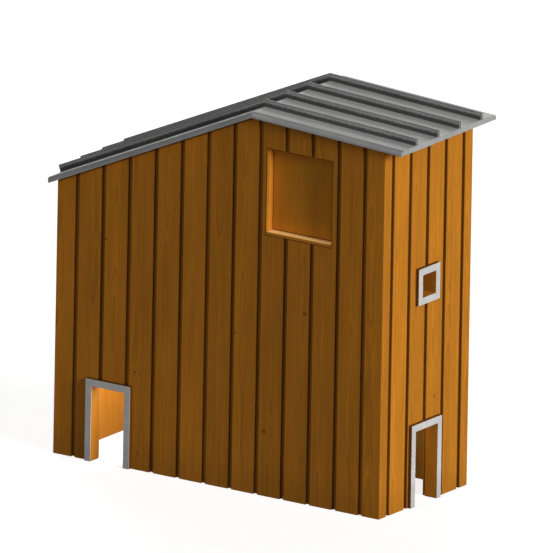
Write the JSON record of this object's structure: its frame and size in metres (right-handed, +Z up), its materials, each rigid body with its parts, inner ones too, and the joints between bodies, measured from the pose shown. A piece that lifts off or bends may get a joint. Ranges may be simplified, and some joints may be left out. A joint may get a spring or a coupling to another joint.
{
  "type": "chicken coop",
  "caption": "Tall boarded chicken coop with a two-slope ribbed roof, framed pop holes with sliding doors, a vent and an inset hatch.",
  "frame": {"origin": "centre of the overall box, on the ground under the walls", "axes": "+X along the front towards the right end, +Y from the front to the back, +Z up"},
  "size_m": [2.734, 1.08, 2.5799],
  "materials": {
    "cladding": "oiled amber-brown boards, satin",
    "opening_timber": "oiled amber-brown timber, satin",
    "hatch_board": "oiled amber-brown panel, satin",
    "frame_timber": "planed softwood, oiled",
    "plywood": "oiled plywood",
    "roof_steel": "grey coated steel, satin",
    "grey_plate": "light grey paint, satin",
    "ironwork": "zinc plated"
  },
  "bodies": {
    "house": {"back_boards": "cladding", "back_lining": "plywood", "eave_trims": "roof_steel", "end_wall_studs": "frame_timber", "front_board_01": "cladding", "front_board_02": "cladding", "front_board_03": "cladding", "front_board_04": "cladding", "front_board_05": "cladding", "front_board_06": "cladding", "front_board_07": "cladding", "front_board_08": "cladding", "front_board_09": "cladding", "front_board_10": "cladding", "front_board_11": "cladding", "front_board_12": "cladding", "front_board_13": "cladding", "front_lining": "plywood", "front_pop_face": "grey_plate", "front_pop_frame": "opening_timber", "hatch_packers": "frame_timber", "hatch_sill": "opening_timber", "hinge_wall_leaves": "ironwork", "left_boards": "cladding", "left_lining": "plywood", "loft_bearers": "frame_timber", "loft_deck": "plywood", "long_wall_studs": "frame_timber", "nest_box": "plywood", "opening_headers": "frame_timber", "perch_cleats": "frame_timber", "perches": "frame_timber", "ramp": "frame_timber", "rib_end_plugs": "roof_steel", "right_board_1": "cladding", "right_board_2": "cladding", "right_board_3": "cladding", "right_board_4": "cladding", "right_board_5": "cladding", "right_board_6": "cladding", "right_lining": "plywood", "right_pop_face": "grey_plate", "right_pop_frame": "opening_timber", "roof_battens": "frame_timber", "roof_decks": "plywood", "roof_sheet_left": "roof_steel", "roof_sheet_right": "roof_steel", "slide_rails": "frame_timber", "sole_plates": "frame_timber", "top_plates": "frame_timber", "turn_button_bolt": "ironwork", "vent_face": "grey_plate", "vent_frame": "opening_timber"},
    "front_door": {"front_door": "plywood"},
    "right_door": {"right_door": "plywood"},
    "vent_shutter": {"vent_shutter": "plywood"},
    "hatch": {"hatch_panel": "hatch_board", "hinge_panel_leaves": "ironwork"},
    "turn_button": {"turn_button": "frame_timber"}
  },
  "joints": [
    {"name": "front_door_slide", "type": "slide", "parent": "house", "child": "front_door", "axis": [0, 0, 1], "range_m": [-0.505, 0]},
    {"name": "right_door_slide", "type": "slide", "parent": "house", "child": "right_door", "axis": [0, 0, 1], "range_m": [-0.505, 0]},
    {"name": "vent_shutter_slide", "type": "slide", "parent": "house", "child": "vent_shutter", "axis": [0, 1, 0], "range_m": [0, 0.19]},
    {"name": "hatch_hinge", "type": "hinge", "parent": "house", "child": "hatch", "pos_m": [0.29943, -0.407, 2.025], "axis": [0, 0, 1], "range_deg": [0, 100]},
    {"name": "turn_button_pivot", "type": "hinge", "parent": "house", "child": "turn_button", "pos_m": [0.83793, -0.4067, 2.025], "axis": [0, 1, 0], "range_deg": [-90, 0]}
  ]
}
